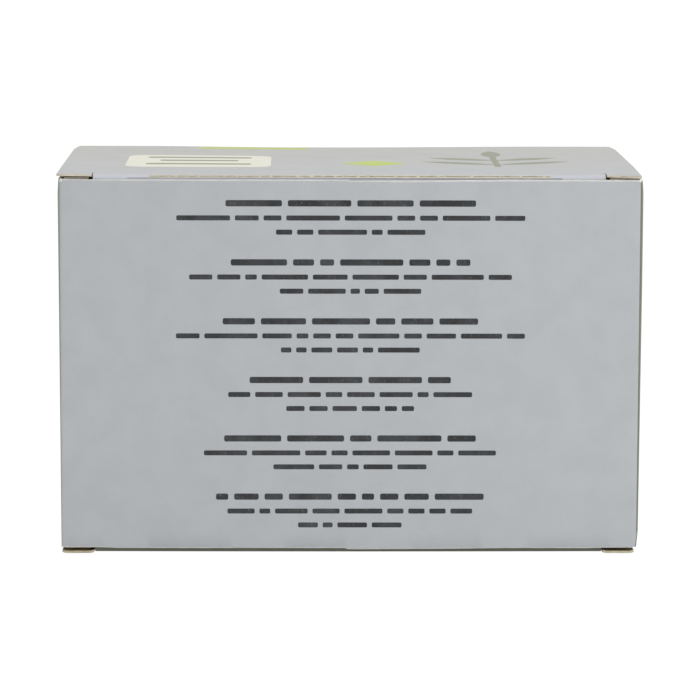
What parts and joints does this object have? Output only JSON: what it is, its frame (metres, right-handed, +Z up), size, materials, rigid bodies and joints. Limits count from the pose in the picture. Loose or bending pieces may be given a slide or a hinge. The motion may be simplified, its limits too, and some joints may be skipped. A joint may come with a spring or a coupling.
{
  "type": "shut tuck-end tea carton",
  "caption": "Shut folding carton for tea bags, with lid and base tucked in behind the near panel at slit locks.",
  "frame": {"origin": "on the floor under the middle of the carton", "axes": "+X to the right of the near panel along the carton's length, +Y from the near panel to the far panel, +Z up"},
  "size_m": [0.1312, 0.078, 0.0849],
  "materials": {
    "printed_board": "printed and lightly coated folding boxboard",
    "raw_board_edge": "raw cut edge of greyish recycled board"
  },
  "bodies": {
    "root": {"tea_carton": "printed_board"}
  },
  "joints": []
}
